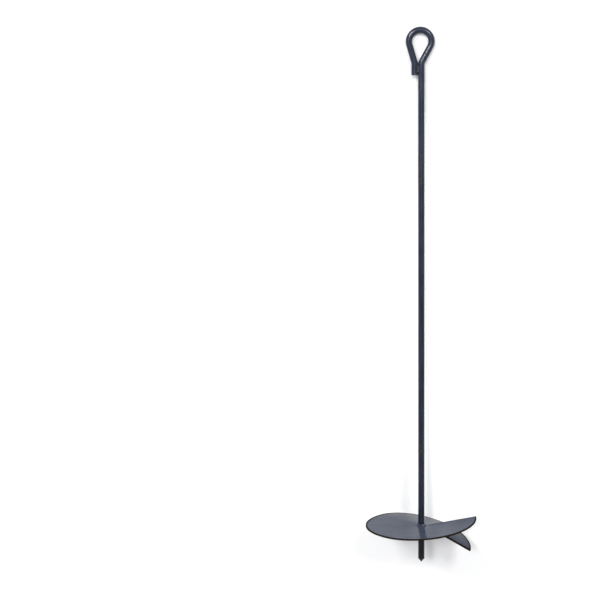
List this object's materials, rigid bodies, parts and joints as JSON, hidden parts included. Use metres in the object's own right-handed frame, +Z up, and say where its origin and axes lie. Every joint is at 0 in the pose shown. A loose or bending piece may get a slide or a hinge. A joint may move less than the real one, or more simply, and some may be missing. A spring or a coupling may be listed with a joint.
{
  "type": "screw earth anchor",
  "caption": "Screw-in ground anchor: round bar with a bent closed eye, and a slit and twisted helix plate welded just above its pointed end; it holds a guy wire or post to the soil.",
  "frame": {"origin": "on the ground, under the middle of the anchor's box as it lies", "axes": "the anchor lies as it comes to rest, on the rim of its plate and the far end of its eye: +Y runs along the ground from the point towards the eye, +X to the side that the plate is slit on, +Z up, away from the ground"},
  "size_m": [0.2084, 0.9944, 0.2074],
  "materials": {
    "bar_paint": "semi-gloss dark blue-grey paint on round bar, with small rust marks",
    "plate_paint": "semi-gloss blue-grey paint on sheet, with bare dark brown sheared edges",
    "weld_paint": "glossy paint over a lumpy weld bead",
    "eye_weld_paint": "thin paint over a weld bead, browned by rust"
  },
  "bodies": {
    "root": {"anchor_rod": "bar_paint", "helix_plate": "plate_paint", "upper_weld": "weld_paint", "lower_weld": "weld_paint", "eye_weld": "eye_weld_paint"}
  },
  "joints": []
}
